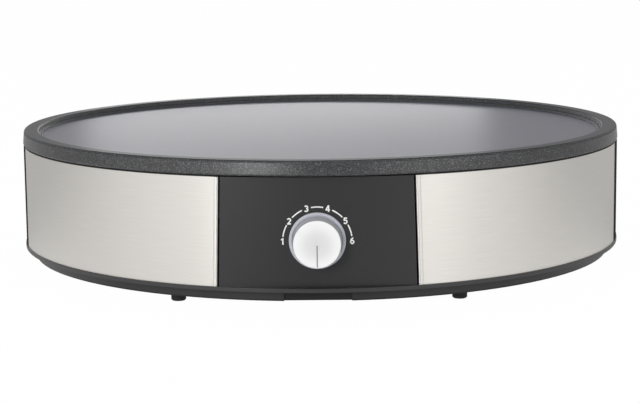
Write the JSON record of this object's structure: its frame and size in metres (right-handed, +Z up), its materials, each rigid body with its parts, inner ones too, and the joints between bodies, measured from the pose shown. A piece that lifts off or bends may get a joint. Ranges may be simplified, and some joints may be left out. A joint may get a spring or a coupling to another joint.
{
  "type": "electric crepe maker",
  "caption": "Round countertop crepe maker: rimmed cast plate on a drum housing with steel side bands, black front and rear panels, rotary thermostat knob in a light ring, tray base on feet.",
  "frame": {"origin": "on the drum's axis at the level of the feet", "axes": "+Z up out of the cooking plate, -Y towards the control panel, +X to the right seen from the front"},
  "size_m": [0.4023, 0.42, 0.092],
  "materials": {
    "coated_plate": "die-cast, black speckled non-stick coating",
    "brushed_band": "brushed along the band",
    "panel_black": "fine satin moulding",
    "tray_black": "fine satin moulding",
    "ring_black": "matt black enamel",
    "rubber_foot": "moulded rubber",
    "light_ring": "frosted, translucent",
    "knob_grey": "satin",
    "knob_face": "spun satin",
    "zinc_steel": "zinc plated",
    "element_sheath": "heat-tinted steel sheath",
    "shield_sheet": "aluminised sheet",
    "ceramic": "unglazed ceramic",
    "brass_part": "plain brass",
    "copper_part": "plain copper",
    "board_green": "solder mask",
    "phenolic": "phenolic moulding",
    "gland_black": "moulded nylon",
    "wire_brown": "insulation",
    "wire_black": "insulation",
    "wire_blue": "insulation",
    "wire_green": "insulation"
  },
  "bodies": {
    "housing": {"cooking_plate": "coated_plate", "heating_element": "element_sheath", "element_clamp_1": "zinc_steel", "element_clamp_2": "zinc_steel", "element_clamp_3": "zinc_steel", "clamp_screws": "zinc_steel", "heat_shield": "shield_sheet", "upper_spacer_1": "zinc_steel", "upper_spacer_2": "zinc_steel", "upper_spacer_3": "zinc_steel", "upper_spacer_4": "zinc_steel", "lower_spacer_1": "zinc_steel", "lower_spacer_2": "zinc_steel", "lower_spacer_3": "zinc_steel", "lower_spacer_4": "zinc_steel", "tie_screws": "zinc_steel", "side_band_left": "brushed_band", "side_band_right": "brushed_band", "top_ring": "ring_black", "ring_post_1": "zinc_steel", "ring_post_2": "zinc_steel", "ring_post_3": "zinc_steel", "ring_post_4": "zinc_steel", "ring_rivets": "zinc_steel", "post_screws": "zinc_steel", "front_panel": "panel_black", "rear_panel": "panel_black", "panel_screws": "zinc_steel", "base_tray": "tray_black", "foot_1": "rubber_foot", "foot_2": "rubber_foot", "foot_3": "rubber_foot", "foot_4": "rubber_foot", "foot_5": "rubber_foot", "foot_6": "rubber_foot", "light_ring": "light_ring", "lamp_board": "board_green", "thermostat_bracket": "zinc_steel", "bracket_screws": "zinc_steel", "thermostat_case": "zinc_steel", "thermostat_base": "ceramic", "thermostat_nut": "brass_part", "sensor_bulb": "copper_part", "capillary_tube": "copper_part", "bulb_clip": "zinc_steel", "thermal_cutout": "phenolic", "cutout_strap": "zinc_steel", "cord_gland": "gland_black", "gland_nut": "gland_black", "terminal_block": "ceramic", "terminal_screws": "brass_part", "wire_live": "wire_brown", "wire_switched": "wire_black", "wire_heater": "wire_black", "wire_neutral": "wire_blue", "wire_earth": "wire_green"},
    "knob": {"thermostat_spindle": "zinc_steel", "knob_body": "knob_grey", "knob_cap": "knob_face", "knob_spring": "zinc_steel"}
  },
  "joints": [
    {"name": "knob_turn", "type": "hinge", "parent": "housing", "child": "knob", "pos_m": [0, -0.196, 0.0444], "axis": [0, 1, 0], "range_deg": [0, 270]}
  ]
}
